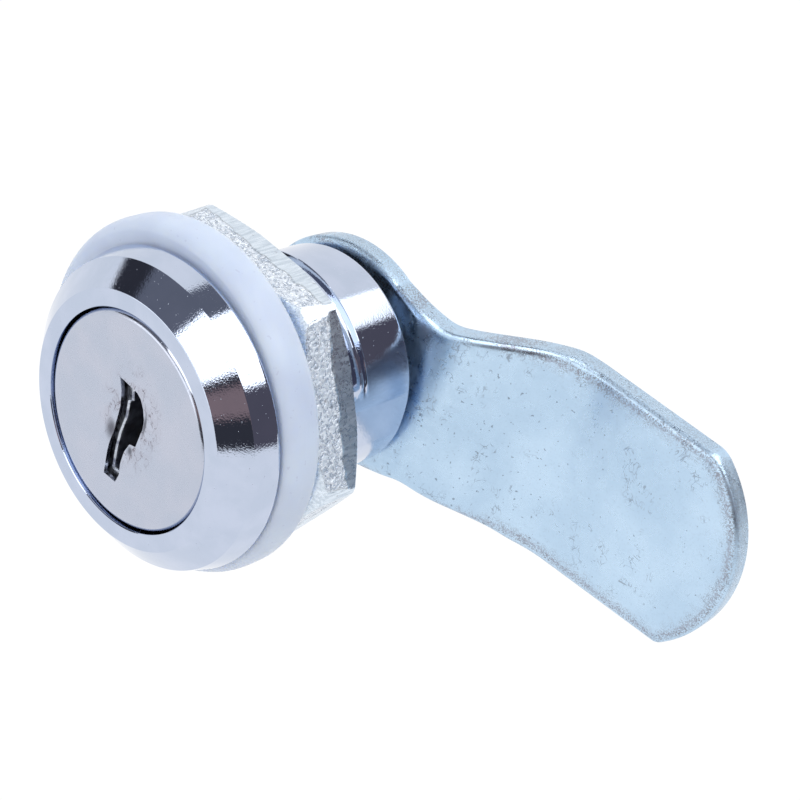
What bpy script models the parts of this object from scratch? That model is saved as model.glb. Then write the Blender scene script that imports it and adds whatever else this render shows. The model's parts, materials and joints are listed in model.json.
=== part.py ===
"""Quarter-turn cam lock for a sheet-metal door, with a threaded barrel and a cranked cam.

Frame: the lock's axis is Y, the keyed face looks to -Y, the cam reaches to +X at rest and +Z is up.
The origin is on the axis, in the plane of the head's back face, which draws up against the door.
All sizes below are in millimetres and angles in degrees, measured from +X towards +Z.
"""
import math

import bmesh
import bpy
from mathutils import Matrix, Vector

MM = 0.001
GAP = 0.3                       # running and seating clearance between neighbouring pieces
SEGMENTS = 48                   # facets round a turned piece

# Head and barrel
HEAD_RADIUS = 14.0
HEAD_HEIGHT = 4.25
FACE_RADIUS = 11.2              # outer edge of the flat ring round the cap
FACE_BEVEL = (0.2, 0.1)         # radial and axial size of the small bevel outside it
RECESS_BREAK = 0.15             # broken edge where the cap's recess opens
CONE_FOOT = (13.45, -2.25)      # radius and Y where the wide cone meets the narrow one
RIM_FRONT = -0.3
CAP_RECESS_RADIUS = 9.7
CAP_RECESS_FLOOR = -1.85
PLUG_BORE_RADIUS = 8.0
BARREL_RADIUS = 10.25
BARREL_LENGTH = 19.5
BARREL_CHAMFER = 0.35
FLATS_ACROSS = 20.1

# Barrel thread
THREAD_CREST_RADIUS = 10.9
THREAD_ROOT_RADIUS = 10.1
THREAD_PITCH = 1.5
THREAD_START = 2.0
THREAD_END = 13.4
THREAD_FLANK = 0.42             # reach of a flank and half width of a crest, as shares of the pitch
THREAD_CREST = 0.08
THREAD_SUNK = 0.35              # how far the ridge is rooted below the thread's root
THREAD_FADE = 0.12              # share of a turn over which the thread rises and dies out

# Plug and the pieces that turn with it
PLUG_RADIUS = PLUG_BORE_RADIUS - GAP
PLUG_HEAD_RADIUS = 8.5
PLUG_HEAD_FRONT = -3.25
PLUG_SHOULDER = BARREL_LENGTH - 1.0
TAIL_WIDTH = 7.0
CAP_RADIUS = 9.3
CAP_FRONT = -4.05
CAP_SHEET = 0.5
CAP_EDGE = 0.55
KEYWAY_DEPTH = 15.0
SCREW_HOLE_RADIUS = 2.8
SCREW_HOLE_START = 16.2

# Wafers
WAFER_COUNT = 6
WAFER_FIRST = 1.0
WAFER_PITCH = 2.5
WAFER_THICKNESS = 1.0
WAFER_HALF_WIDTH = 3.3
WAFER_REACH = 7.5               # radius of a wafer's round ends when it lies flush
WAFER_WINDOW = (-1.7, 2.5, -5.4, 4.6)
LUG_HALF_HEIGHT = 0.5
LUG_END = 5.45
GROOVE_HALF_WIDTH = WAFER_HALF_WIDTH + GAP
GROOVE_REACH = 8.9
GROOVE_START = -0.3
POCKET = (3.0, 5.85, -4.3, 2.2)
POCKET_DEPTH = 2.1

# Wafer springs
SPRING_X = 4.9
SPRING_COIL_RADIUS = 0.6
SPRING_WIRE_RADIUS = 0.15
SPRING_TURNS = 4

# Washers, nut and cam
SEAL_RADIUS = 15.5
SEAL_HOLE_RADIUS = 12.0
SEAL_OFFSET = (-0.7, 0.3)       # the loose washer sits off the axis in X and Z
SEAL_FRONT = GAP
SEAL_BACK = 3.7
SEAL_FRONT_EDGE = (1.1, 1.7)    # radial and axial reach of its soft front edge
SEAL_BACK_EDGE = (0.4, 0.5)
SEAL_BACK_RING = 13.3           # radius that parts its back face into two rings, the outer past the nut
NUT_FLATS = 27.0
NUT_FRONT = SEAL_BACK + GAP
NUT_THICKNESS = 5.0
NUT_TURN = 26.5                 # direction in which one of its flats faces
NUT_CHAMFER_RADIUS = 13.9
NUT_MOUTH = 0.5                 # size of the chamfers round its bore
CHAMFER_SLOPE = math.tan(math.radians(30))
STOP_FRONT = PLUG_SHOULDER + GAP
STOP_THICKNESS = 1.6
STOP_RADIUS = PLUG_BORE_RADIUS - GAP
STOP_TAB_RADIUS = 9.3
STOP_TAB_HALF_ANGLE = 16.0
STOP_TAB_AT = 180.0
QUARTER_TURN = 90.0
NOTCH_PLAY = 2.0
CAM_FRONT = STOP_FRONT + STOP_THICKNESS + GAP
CAM_THICKNESS = 1.95
CAM_CRANK = 6.3                 # how far the blade lies behind the hub
CAM_FRONT_BENDS = (11.1, 20.2)  # X of the two bends on the sheet's front face
CAM_BACK_BENDS = (9.8, 18.8)    # and on its back face
CAM_INNER_BEND = 1.5
CAM_OUTER_BEND = 6.5
CAM_BEND_STEPS = 6
CAM_HUB_RADIUS = 10.65
CAM_HUB_LEAVE = 65.0            # direction at which the arm leaves the hub's round
CAM_NECK = (10.3, 8.2)          # X and half width at the narrowest place
CAM_SHOULDER = (20.0, 10.1)
CAM_NECK_RADIUS = 4.0
CAM_END_HALF_WIDTH = 9.75
CAM_TIP = 41.15
CAM_END_RADIUS = 12.25
CAM_END_DROP = 0.5              # the round end is struck from a little below the middle line
CAM_UPPER_CORNER_RADIUS = 2.5
CAM_LOWER_CORNER_RADIUS = 1.2
TAIL_END = CAM_FRONT + CAM_THICKNESS - GAP
SQUARE_HOLE = TAIL_WIDTH + 2 * GAP

# Cam fixing
WASHER_THICKNESS = 1.0
WASHER_RADIUS = 6.2
LOCK_WASHER_RADIUS = 4.8
LOCK_WASHER_THICKNESS = 1.1
LOCK_WASHER_RISE = 0.35
SCREW_RADIUS = 2.5
SCREW_HEAD_RADIUS = 4.9
SCREW_HEAD_HEIGHT = 3.1
SCREW_DOME = 1.3
SCREW_POINT = 0.5
SCREW_TIP = 16.6
RECESS_LENGTH = 5.2
RECESS_WIDTH = 1.1
RECESS_DEPTH = 1.8

# The keyway's outline as (x, z): down the left side from its pointed top, then up the right side
KEYWAY = [
    (-1.7, 3.75), (-1.15, 2.4), (-0.95, 1.1), (-1.05, -0.3), (-1.35, -2.2), (-1.45, -3.8), (-1.35, -6.15),
    (0.4, -6.15), (0.7, -5.1), (0.6, -3.9), (0.75, -2.7), (1.15, -1.7), (1.9, -1.5),
    (2.25, 0.5), (2.2, 1.7), (1.9, 2.5), (1.4, 3.2), (0.8, 3.55), (-0.3, 3.65),
]


# ---------------------------------------------------------------- helpers

def clear_scene():
    for scene_object in list(bpy.data.objects):
        bpy.data.objects.remove(scene_object, do_unlink=True)


def metal(name, colour, roughness, metallic=1.0):
    """A Principled material with one colour."""
    material = bpy.data.materials.new(name)
    material.use_nodes = True
    shader = material.node_tree.nodes["Principled BSDF"]
    shader.inputs["Base Color"].default_value = (*colour, 1.0)
    shader.inputs["Roughness"].default_value = roughness
    shader.inputs["Metallic"].default_value = metallic
    material.diffuse_color = (*colour, 1.0)
    return material


def polar(radius, degrees):
    """The (x, z) point at a radius and direction."""
    turn = math.radians(degrees)
    return radius * math.cos(turn), radius * math.sin(turn)


def arc(centre, radius, start, end, steps):
    """Points round an arc in two dimensions, both ends included."""
    points = []
    for step in range(steps + 1):
        x, z = polar(radius, start + (end - start) * step / steps)
        points.append((centre[0] + x, centre[1] + z))
    return points


def rounded_corner(before, corner, after, radius, steps):
    """Points round a fillet that replaces one corner of a path."""
    corner = Vector(corner)
    into = (Vector(before) - corner).normalized()
    out = (Vector(after) - corner).normalized()
    half = into.angle(out) / 2
    centre = corner + (into + out).normalized() * radius / math.sin(half)
    start = corner + into * radius / math.tan(half) - centre
    end = corner + out * radius / math.tan(half) - centre
    points = []
    for step in range(steps + 1):
        spoke = start.lerp(end, step / steps).normalized() * radius
        points.append(tuple(centre + spoke))
    return points


def finish(name, bm, material=None, smooth_angle=None):
    """Turn a closed bmesh in millimetres into an object whose faces point out."""
    bmesh.ops.remove_doubles(bm, verts=bm.verts[:], dist=1e-5)
    bmesh.ops.dissolve_degenerate(bm, edges=bm.edges[:], dist=1e-6)
    bmesh.ops.scale(bm, vec=(MM, MM, MM), verts=bm.verts[:])
    bmesh.ops.recalc_face_normals(bm, faces=bm.faces[:])
    mesh = bpy.data.meshes.new(name)
    bm.to_mesh(mesh)
    bm.free()
    if smooth_angle is not None:
        mesh.shade_smooth()
        mesh.set_sharp_from_angle(angle=math.radians(smooth_angle))
    if material is not None:
        mesh.materials.append(material)
    piece = bpy.data.objects.new(name, mesh)
    bpy.context.scene.collection.objects.link(piece)
    return piece


def turned(name, profile, material=None):
    """A solid turned about Y from a closed loop of (radius, y) points."""
    bm = bmesh.new()
    verts = [bm.verts.new((radius, y, 0.0)) for radius, y in profile]
    edges = [bm.edges.new((verts[i], verts[(i + 1) % len(verts)])) for i in range(len(verts))]
    bmesh.ops.spin(bm, geom=verts + edges, cent=(0, 0, 0), axis=(0, 1, 0),
                   angle=math.tau, steps=SEGMENTS, use_merge=True)
    return finish(name, bm, material, smooth_angle=30)


def plate(name, outlines, front, back, material=None):
    """A flat piece between two Y planes; the first outline is its edge and the others are holes."""
    bm = bmesh.new()
    edges = []
    for outline in outlines:
        verts = [bm.verts.new((x, front, z)) for x, z in outline]
        edges += [bm.edges.new((verts[i], verts[(i + 1) % len(verts)])) for i in range(len(verts))]
    bmesh.ops.triangle_fill(bm, edges=edges, use_beauty=True)
    pushed = bmesh.ops.extrude_face_region(bm, geom=bm.faces[:])
    moved = [item for item in pushed["geom"] if isinstance(item, bmesh.types.BMVert)]
    bmesh.ops.translate(bm, vec=(0, back - front, 0), verts=moved)
    return finish(name, bm, material)


def boxes(name, limits):
    """One cutter made of separate boxes, each given as (x0, x1, y0, y1, z0, z1)."""
    bm = bmesh.new()
    for x0, x1, y0, y1, z0, z1 in limits:
        centre = Vector(((x0 + x1) / 2, (y0 + y1) / 2, (z0 + z1) / 2))
        size = Matrix.Diagonal((x1 - x0, y1 - y0, z1 - z0, 1.0))
        bmesh.ops.create_cube(bm, size=1.0, matrix=Matrix.Translation(centre) @ size)
    return finish(name, bm)


def helical(name, section, turns, pitch, steps, material=None, fade=0.0):
    """A section of (radius, y) points swept to +Y along a right-hand helix about Y.

    Over the share of a turn given by fade, each end sinks towards the section's first radius.
    """
    bm = bmesh.new()
    count = round(turns * steps)
    floor = section[0][0]
    rings = []
    for step in range(count + 1):
        turn = -math.tau * step / steps
        end = min(step, count - step) / steps
        height = 1.0 if fade == 0.0 else min(1.0, end / fade)
        ring = []
        for radius, y in section:
            reach = floor + (radius - floor) * max(height, 0.02)
            lead = pitch * step / steps
            ring.append(bm.verts.new((reach * math.cos(turn), y + lead, reach * math.sin(turn))))
        rings.append(ring)
    size = len(section)
    for ring, following in zip(rings, rings[1:]):
        for i in range(size):
            bm.faces.new((ring[i], ring[(i + 1) % size], following[(i + 1) % size], following[i]))
    bm.faces.new(rings[0])
    bm.faces.new(rings[-1])
    return finish(name, bm, material, smooth_angle=40)


def combine(piece, other, operation="DIFFERENCE"):
    """A Boolean modifier; the other object is only a guide and isn't part of the lock."""
    modifier = piece.modifiers.new(other.name, "BOOLEAN")
    modifier.operation = operation
    modifier.object = other
    modifier.solver = "EXACT"
    other.hide_render = True
    other.display_type = "WIRE"


def attach(piece, parent):
    piece.parent = parent
    return piece


def square(width):
    """A square outline with small corner facets, centred on the axis."""
    half = width / 2
    nip = width * 0.08
    return [(half, -half + nip), (half, half - nip), (half - nip, half), (-half + nip, half),
            (-half, half - nip), (-half, -half + nip), (-half + nip, -half), (half - nip, -half)]


# ---------------------------------------------------------------- fixed pieces

def make_housing(material):
    """The chromed head and barrel in one casting, bored for the plug."""
    chamfer = BARREL_CHAMFER
    housing = turned("housing", [
        (CAP_RECESS_RADIUS, -HEAD_HEIGHT + RECESS_BREAK),
        (CAP_RECESS_RADIUS + RECESS_BREAK, -HEAD_HEIGHT),
        (FACE_RADIUS, -HEAD_HEIGHT),
        (FACE_RADIUS + FACE_BEVEL[0], -HEAD_HEIGHT + FACE_BEVEL[1]),
        CONE_FOOT,
        (HEAD_RADIUS, RIM_FRONT),
        (HEAD_RADIUS, 0.0),
        (THREAD_ROOT_RADIUS, 0.0),
        (THREAD_ROOT_RADIUS, THREAD_END + THREAD_ROOT_RADIUS - BARREL_RADIUS),
        (BARREL_RADIUS, THREAD_END),
        (BARREL_RADIUS, BARREL_LENGTH - chamfer),
        (BARREL_RADIUS - chamfer, BARREL_LENGTH),
        (PLUG_BORE_RADIUS, BARREL_LENGTH),
        (PLUG_BORE_RADIUS, CAP_RECESS_FLOOR),
        (CAP_RECESS_RADIUS, CAP_RECESS_FLOOR),
    ], material)
    flank = THREAD_PITCH * THREAD_FLANK
    crest = THREAD_PITCH * THREAD_CREST
    sunk = THREAD_ROOT_RADIUS - THREAD_SUNK
    turns = (THREAD_END - THREAD_START - 2 * flank) / THREAD_PITCH
    ridge = helical("thread_ridge", [
        (sunk, THREAD_START),
        (sunk, THREAD_START + 2 * flank),
        (THREAD_CREST_RADIUS, THREAD_START + flank + crest),
        (THREAD_CREST_RADIUS, THREAD_START + flank - crest),
    ], turns, THREAD_PITCH, SEGMENTS, fade=THREAD_FADE)
    combine(housing, ridge, "UNION")
    beyond = 2 * HEAD_RADIUS
    half = FLATS_ACROSS / 2
    flats = boxes("barrel_flats", [
        (half, beyond, 0.0, beyond, -beyond, beyond),
        (-beyond, -half, 0.0, beyond, -beyond, beyond),
    ])
    combine(housing, flats)
    grooves = boxes("wafer_grooves", [
        (-GROOVE_HALF_WIDTH, GROOVE_HALF_WIDTH, GROOVE_START, beyond, -GROOVE_REACH, GROOVE_REACH),
    ])
    combine(housing, grooves)
    start = STOP_TAB_AT - STOP_TAB_HALF_ANGLE - NOTCH_PLAY
    end = STOP_TAB_AT + QUARTER_TURN + STOP_TAB_HALF_ANGLE + NOTCH_PLAY
    outline = arc((0, 0), PLUG_BORE_RADIUS * 0.7, start, end, 12) + arc((0, 0), HEAD_RADIUS, end, start, 12)
    notch = plate("stop_notch", [outline], PLUG_SHOULDER, beyond)
    combine(housing, notch)
    return housing


def make_sealing_washer(material):
    """The soft ring under the head, with a full round to its front edge."""
    front_edge = [(SEAL_RADIUS - SEAL_FRONT_EDGE[0] * (1 - x), SEAL_FRONT + SEAL_FRONT_EDGE[1] * (1 - y))
                  for x, y in arc((0, 0), 1.0, 0, 90, 5)]
    back_edge = [(SEAL_RADIUS - SEAL_BACK_EDGE[0] * (1 - x), SEAL_BACK - SEAL_BACK_EDGE[1] * (1 - y))
                 for x, y in arc((0, 0), 1.0, 90, 0, 3)]
    hole = [(SEAL_HOLE_RADIUS, SEAL_FRONT), (SEAL_HOLE_RADIUS, SEAL_BACK)]
    back_rings = [(SEAL_BACK_RING, SEAL_BACK)]
    washer = turned("sealing_washer", hole + back_rings + back_edge + front_edge, material)
    washer.location = (SEAL_OFFSET[0] * MM, 0.0, SEAL_OFFSET[1] * MM)
    return washer


def make_mounting_nut(material):
    """A hexagon nut with both faces chamfered, one flat facing NUT_TURN degrees."""
    back = NUT_FRONT + NUT_THICKNESS
    corner = NUT_FLATS / 2 / math.cos(math.radians(30))
    blank = corner + GAP
    slope = (blank - NUT_CHAMFER_RADIUS) * CHAMFER_SLOPE
    bore = THREAD_CREST_RADIUS + GAP
    mouth = NUT_MOUTH
    nut = turned("mounting_nut", [
        (bore, NUT_FRONT + mouth), (bore + mouth, NUT_FRONT), (NUT_CHAMFER_RADIUS, NUT_FRONT),
        (blank, NUT_FRONT + slope), (blank, back - slope), (NUT_CHAMFER_RADIUS, back),
        (bore + mouth, back), (bore, back - mouth),
    ], material)
    outline = [polar(corner, NUT_TURN + 30 + 60 * side) for side in range(6)]
    hexagon = plate("nut_hexagon", [outline], NUT_FRONT - 1, back + 1)
    combine(nut, hexagon, "INTERSECT")
    return nut


# ---------------------------------------------------------------- the plug and its wafers

def wafer_station(index):
    """The Y of the middle of one wafer."""
    return WAFER_FIRST + index * WAFER_PITCH


def make_plug(material):
    """The core: a round body with a head, a square tail, the keyway and the wafer slots."""
    plug = turned("plug", [
        (0.0, PLUG_HEAD_FRONT), (PLUG_HEAD_RADIUS, PLUG_HEAD_FRONT),
        (PLUG_HEAD_RADIUS, CAP_RECESS_FLOOR - GAP), (PLUG_RADIUS, CAP_RECESS_FLOOR - GAP),
        (PLUG_RADIUS, PLUG_SHOULDER), (0.0, PLUG_SHOULDER),
    ], material)
    tail = plate("plug_tail", [square(TAIL_WIDTH)], PLUG_SHOULDER - 2, TAIL_END)
    combine(plug, tail, "UNION")
    keyway = plate("plug_keyway", [KEYWAY], PLUG_HEAD_FRONT - 1, KEYWAY_DEPTH)
    combine(plug, keyway)
    slot = WAFER_THICKNESS / 2 + GAP
    side = WAFER_HALF_WIDTH + GAP
    stations = [wafer_station(index) for index in range(WAFER_COUNT)]
    beyond = PLUG_RADIUS + 1
    slots = boxes("wafer_slots", [(-side, side, y - slot, y + slot, -beyond, beyond) for y in stations])
    combine(plug, slots)
    half = POCKET_DEPTH / 2
    pockets = boxes("spring_pockets", [(POCKET[0], POCKET[1], y - half, y + half, POCKET[2], POCKET[3])
                                       for y in stations])
    combine(plug, pockets)
    hole = turned("screw_hole", [(0.0, SCREW_HOLE_START), (SCREW_HOLE_RADIUS, SCREW_HOLE_START),
                                 (SCREW_HOLE_RADIUS, TAIL_END + 1), (0.0, TAIL_END + 1)])
    combine(plug, hole)
    return plug


def make_face_cap(material):
    """The pressed cap over the plug's head, with a rolled edge and the keyway cut through."""
    rolled = [(CAP_RADIUS - CAP_EDGE + x, CAP_FRONT + CAP_EDGE + y)
              for x, y in arc((0, 0), CAP_EDGE, -90, 0, 4)]
    skirt = CAP_RECESS_FLOOR - GAP - 0.05
    inner = CAP_RADIUS - CAP_SHEET
    cap = turned("face_cap", [(0.0, CAP_FRONT)] + rolled + [
        (CAP_RADIUS, skirt), (inner, skirt), (inner, CAP_FRONT + CAP_SHEET), (0.0, CAP_FRONT + CAP_SHEET),
    ], material)
    keyway = plate("cap_keyway", [KEYWAY], CAP_FRONT - 1, CAP_FRONT + 2)
    combine(cap, keyway)
    return cap


def make_wafer(index, material):
    """One sliding wafer: round ends, a window for the key and a lug for its spring."""
    side = WAFER_HALF_WIDTH
    lean = math.degrees(math.acos(side / WAFER_REACH))
    lug = LUG_HALF_HEIGHT
    edge = [(side, -lug), (LUG_END, -lug), (LUG_END, lug), (side, lug)]
    edge += arc((0, 0), WAFER_REACH, lean, 180 - lean, 6)
    edge += arc((0, 0), WAFER_REACH, 180 + lean, 360 - lean, 6)
    x0, x1, z0, z1 = WAFER_WINDOW
    window = [(x0, z0), (x1, z0), (x1, z1), (x0, z1)]
    half = WAFER_THICKNESS / 2
    wafer = plate(f"wafer_{index + 1}", [edge, window], -half, half, material)
    wafer.location = (0.0, wafer_station(index) * MM, 0.0)
    return wafer


def make_wafer_spring(index, material):
    """The coil spring under one wafer's lug, standing along Z in its pocket."""
    wire = [(SPRING_COIL_RADIUS + x, y) for x, y in arc((0, 0), SPRING_WIRE_RADIUS, 0, 300, 5)]
    floor = POCKET[2] + GAP
    top = -LUG_HALF_HEIGHT - GAP
    pitch = (top - floor - 2 * SPRING_WIRE_RADIUS) / SPRING_TURNS
    spring = helical(f"wafer_spring_{index + 1}", wire, SPRING_TURNS, pitch, 9, material)
    spring.rotation_euler = (math.radians(90), 0.0, 0.0)
    spring.location = (SPRING_X * MM, wafer_station(index) * MM, (floor + SPRING_WIRE_RADIUS) * MM)
    return spring


# ---------------------------------------------------------------- the cam and its fixing

def make_stop_washer(material):
    """The disc on the square tail whose tab runs in the barrel's notch and ends each quarter turn."""
    start = STOP_TAB_AT - STOP_TAB_HALF_ANGLE
    end = STOP_TAB_AT + STOP_TAB_HALF_ANGLE
    edge = arc((0, 0), STOP_RADIUS, end, start + 360, 36) + arc((0, 0), STOP_TAB_RADIUS, start, end, 5)
    back = STOP_FRONT + STOP_THICKNESS
    return plate("stop_washer", [edge, square(SQUARE_HOLE)], STOP_FRONT, back, material)


def sheet_side(bends, hub, first_radius, second_radius):
    """One face of the cranked sheet as (x, y), from behind the hub to beyond the tip."""
    behind = (-2 * CAM_HUB_RADIUS, hub)
    first = (bends[0], hub)
    second = (bends[1], hub + CAM_CRANK)
    beyond = (CAM_TIP + 5, hub + CAM_CRANK)
    first_bend = rounded_corner(behind, first, second, first_radius, CAM_BEND_STEPS)
    second_bend = rounded_corner(first, second, beyond, second_radius, CAM_BEND_STEPS)
    return [behind] + first_bend + second_bend + [beyond]


def cam_edge(side, corner_radius):
    """The upper (side 1) or lower (side -1) edge of the cam, from its hub to the middle of its end."""
    half = CAM_END_HALF_WIDTH
    end = (CAM_TIP - CAM_END_RADIUS, -side * CAM_END_DROP)
    across = math.sqrt((CAM_END_RADIUS - corner_radius) ** 2 - (half - corner_radius - end[1]) ** 2)
    corner = (end[0] + across, half - corner_radius)
    meeting = math.degrees(math.atan2(corner[1] - end[1], across))
    rounding = arc(corner, corner_radius, 90, meeting, 4)
    leave = polar(CAM_HUB_RADIUS, CAM_HUB_LEAVE)
    edge = [leave]
    edge += rounded_corner(leave, CAM_NECK, CAM_SHOULDER, CAM_NECK_RADIUS, 3)
    edge += rounded_corner(CAM_NECK, CAM_SHOULDER, rounding[0], CAM_NECK_RADIUS, 3)
    edge += rounding + arc(end, CAM_END_RADIUS, meeting, 0, 7)[1:]
    return [(x, side * z) for x, z in edge]


def cam_outline():
    """The cam seen along the axis: round hub, narrow neck, wide blade and a rounded end."""
    upper = cam_edge(1, CAM_UPPER_CORNER_RADIUS)
    lower = cam_edge(-1, CAM_LOWER_CORNER_RADIUS)
    hub = arc((0, 0), CAM_HUB_RADIUS, 360 - CAM_HUB_LEAVE, CAM_HUB_LEAVE, 30)[1:-1]
    return upper + lower[-2::-1] + hub


def make_cam(material):
    """The cranked blade: a bent strip of sheet trimmed to the cam's outline."""
    front = sheet_side(CAM_FRONT_BENDS, CAM_FRONT, CAM_OUTER_BEND, CAM_INNER_BEND)
    back = sheet_side(CAM_BACK_BENDS, CAM_FRONT + CAM_THICKNESS, CAM_INNER_BEND, CAM_OUTER_BEND)
    bm = bmesh.new()
    width = 2 * CAM_HUB_RADIUS
    strip = bm.faces.new([bm.verts.new((x, y, -width)) for x, y in front + back[::-1]])
    pushed = bmesh.ops.extrude_face_region(bm, geom=[strip])
    moved = [item for item in pushed["geom"] if isinstance(item, bmesh.types.BMVert)]
    bmesh.ops.translate(bm, vec=(0, 0, 2 * width), verts=moved)
    cam = finish("cam", bm, material, smooth_angle=20)
    trim = plate("cam_outline", [cam_outline()], 0.0, 60.0)
    combine(cam, trim, "INTERSECT")
    hole = plate("cam_square_hole", [square(SQUARE_HOLE)], CAM_FRONT - 2, CAM_FRONT + CAM_THICKNESS + 2)
    combine(cam, hole)
    return cam


def make_flat_washer(material):
    front = CAM_FRONT + CAM_THICKNESS + GAP
    back = front + WASHER_THICKNESS
    inner = SCREW_RADIUS + GAP
    return turned("flat_washer", [
        (inner, front), (WASHER_RADIUS, front), (WASHER_RADIUS, back - 0.2),
        (WASHER_RADIUS - 0.2, back), (inner, back),
    ], material)


def lock_washer_front():
    return CAM_FRONT + CAM_THICKNESS + WASHER_THICKNESS + 2 * GAP


def make_spring_washer(material):
    """A split ring whose ends stand apart, which keeps the screw from working loose."""
    inner = SCREW_RADIUS + GAP
    front = lock_washer_front()
    back = front + LOCK_WASHER_THICKNESS
    section = [(inner, front), (inner, back), (LOCK_WASHER_RADIUS, back), (LOCK_WASHER_RADIUS, front)]
    return helical("spring_washer", section, 46 / SEGMENTS, LOCK_WASHER_RISE, SEGMENTS, material)


def make_cam_screw(material):
    """The pan-head screw with a cross recess that holds the cam on the plug's tail."""
    seat = lock_washer_front() + LOCK_WASHER_THICKNESS + LOCK_WASHER_RISE + GAP
    top = seat + SCREW_HEAD_HEIGHT
    shoulder = top - SCREW_DOME
    dome = [(SCREW_HEAD_RADIUS * x, shoulder + SCREW_DOME * y) for x, y in arc((0, 0), 1.0, 0, 75, 5)]
    screw = turned("cam_screw", [
        (0.0, SCREW_TIP), (SCREW_RADIUS - SCREW_POINT, SCREW_TIP), (SCREW_RADIUS, SCREW_TIP + SCREW_POINT),
        (SCREW_RADIUS, seat), (SCREW_HEAD_RADIUS, seat),
    ] + dome + [(0.0, top)], material)
    long, wide = RECESS_LENGTH / 2, RECESS_WIDTH / 2
    cross = [(long, -wide), (long, wide), (wide, wide), (wide, long), (-wide, long), (-wide, wide),
             (-long, wide), (-long, -wide), (-wide, -wide), (-wide, -long), (wide, -long), (wide, -wide)]
    recess = plate("screw_recess", [cross], top - RECESS_DEPTH, top + 1)
    combine(screw, recess)
    return screw


def main():
    clear_scene()
    chrome = metal("bright_chrome", (0.83, 0.84, 0.86), 0.06)
    steel = metal("satin_stainless", (0.66, 0.64, 0.69), 0.32)
    zinc = metal("zinc_plated_steel", (0.70, 0.72, 0.75), 0.34)
    blue_zinc = metal("blue_passivated_zinc", (0.62, 0.70, 0.77), 0.28)
    brass = metal("wafer_brass", (0.72, 0.56, 0.28), 0.35)
    die_cast = metal("die_cast_zinc", (0.50, 0.51, 0.53), 0.42)
    spring_steel = metal("spring_steel", (0.42, 0.43, 0.45), 0.30)
    nylon = metal("white_nylon", (0.86, 0.89, 0.94), 0.45, metallic=0.0)

    housing = make_housing(chrome)
    attach(make_sealing_washer(nylon), housing)
    attach(make_mounting_nut(zinc), housing)
    plug = attach(make_plug(die_cast), housing)
    attach(make_face_cap(steel), plug)
    for index in range(WAFER_COUNT):
        attach(make_wafer(index, brass), plug)
        attach(make_wafer_spring(index, spring_steel), plug)
    attach(make_stop_washer(zinc), plug)
    attach(make_cam(blue_zinc), plug)
    attach(make_flat_washer(zinc), plug)
    attach(make_spring_washer(spring_steel), plug)
    attach(make_cam_screw(zinc), plug)


main()
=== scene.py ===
"""The looks of the quarter-turn cam lock: finer pieces, finishes, floor, light and camera.

Frame: the lock's axis is Y, the keyed face looks to -Y, the cam reaches to +X and +Z is up.
Sizes are in millimetres and angles in degrees, measured from +X towards +Z, unless a name says otherwise.
"""
import json
import math

import bmesh
import bpy
from mathutils import Matrix, Vector, noise


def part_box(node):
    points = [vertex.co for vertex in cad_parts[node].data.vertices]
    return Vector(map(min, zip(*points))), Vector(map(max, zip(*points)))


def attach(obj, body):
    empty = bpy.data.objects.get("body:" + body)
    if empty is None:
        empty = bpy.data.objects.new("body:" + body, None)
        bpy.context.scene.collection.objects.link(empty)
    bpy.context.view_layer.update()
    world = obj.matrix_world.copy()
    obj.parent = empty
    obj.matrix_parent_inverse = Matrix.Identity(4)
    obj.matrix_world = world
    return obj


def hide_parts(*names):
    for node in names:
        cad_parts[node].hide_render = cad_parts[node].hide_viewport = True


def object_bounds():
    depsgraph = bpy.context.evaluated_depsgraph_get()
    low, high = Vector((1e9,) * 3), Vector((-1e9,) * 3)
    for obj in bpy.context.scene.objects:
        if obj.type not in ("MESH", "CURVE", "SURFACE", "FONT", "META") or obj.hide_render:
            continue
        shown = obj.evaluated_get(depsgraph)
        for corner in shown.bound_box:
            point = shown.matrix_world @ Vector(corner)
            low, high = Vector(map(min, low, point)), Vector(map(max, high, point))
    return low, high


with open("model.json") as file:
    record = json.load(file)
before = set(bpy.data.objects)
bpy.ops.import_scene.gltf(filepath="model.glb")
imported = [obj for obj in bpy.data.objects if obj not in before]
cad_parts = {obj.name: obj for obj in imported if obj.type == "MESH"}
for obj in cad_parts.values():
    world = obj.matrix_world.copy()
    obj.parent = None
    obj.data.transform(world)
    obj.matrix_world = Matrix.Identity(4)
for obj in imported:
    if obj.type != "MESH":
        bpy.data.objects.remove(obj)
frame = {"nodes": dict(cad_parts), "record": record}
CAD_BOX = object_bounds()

MM = 0.001


def span(node):
    """Lowest and highest corner of a CAD node in millimetres."""
    low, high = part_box(node)
    return low / MM, high / MM


BODY_OF = {node: body for body, nodes in frame["record"]["behaviour"]["bodies"].items() for node in nodes}
SLOT_OF = {part["node"]: part["material_slot"] for part in frame["record"]["subparts"]}

HOUSING_LOW, HOUSING_HIGH = span("housing")
SEAL_LOW, SEAL_HIGH = span("sealing_washer")
NUT_LOW, NUT_HIGH = span("mounting_nut")
PLUG_LOW, PLUG_HIGH = span("plug")
CAP_HIGH = span("face_cap")[1]
STOP_LOW, STOP_HIGH = span("stop_washer")
CAM_LOW, CAM_HIGH = span("cam")
FLAT_LOW, FLAT_HIGH = span("flat_washer")
SPLIT_LOW, SPLIT_HIGH = span("spring_washer")
SCREW_LOW, SCREW_HIGH = span("cam_screw")

SEGMENTS = 192                  # steps round a turned piece

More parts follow.
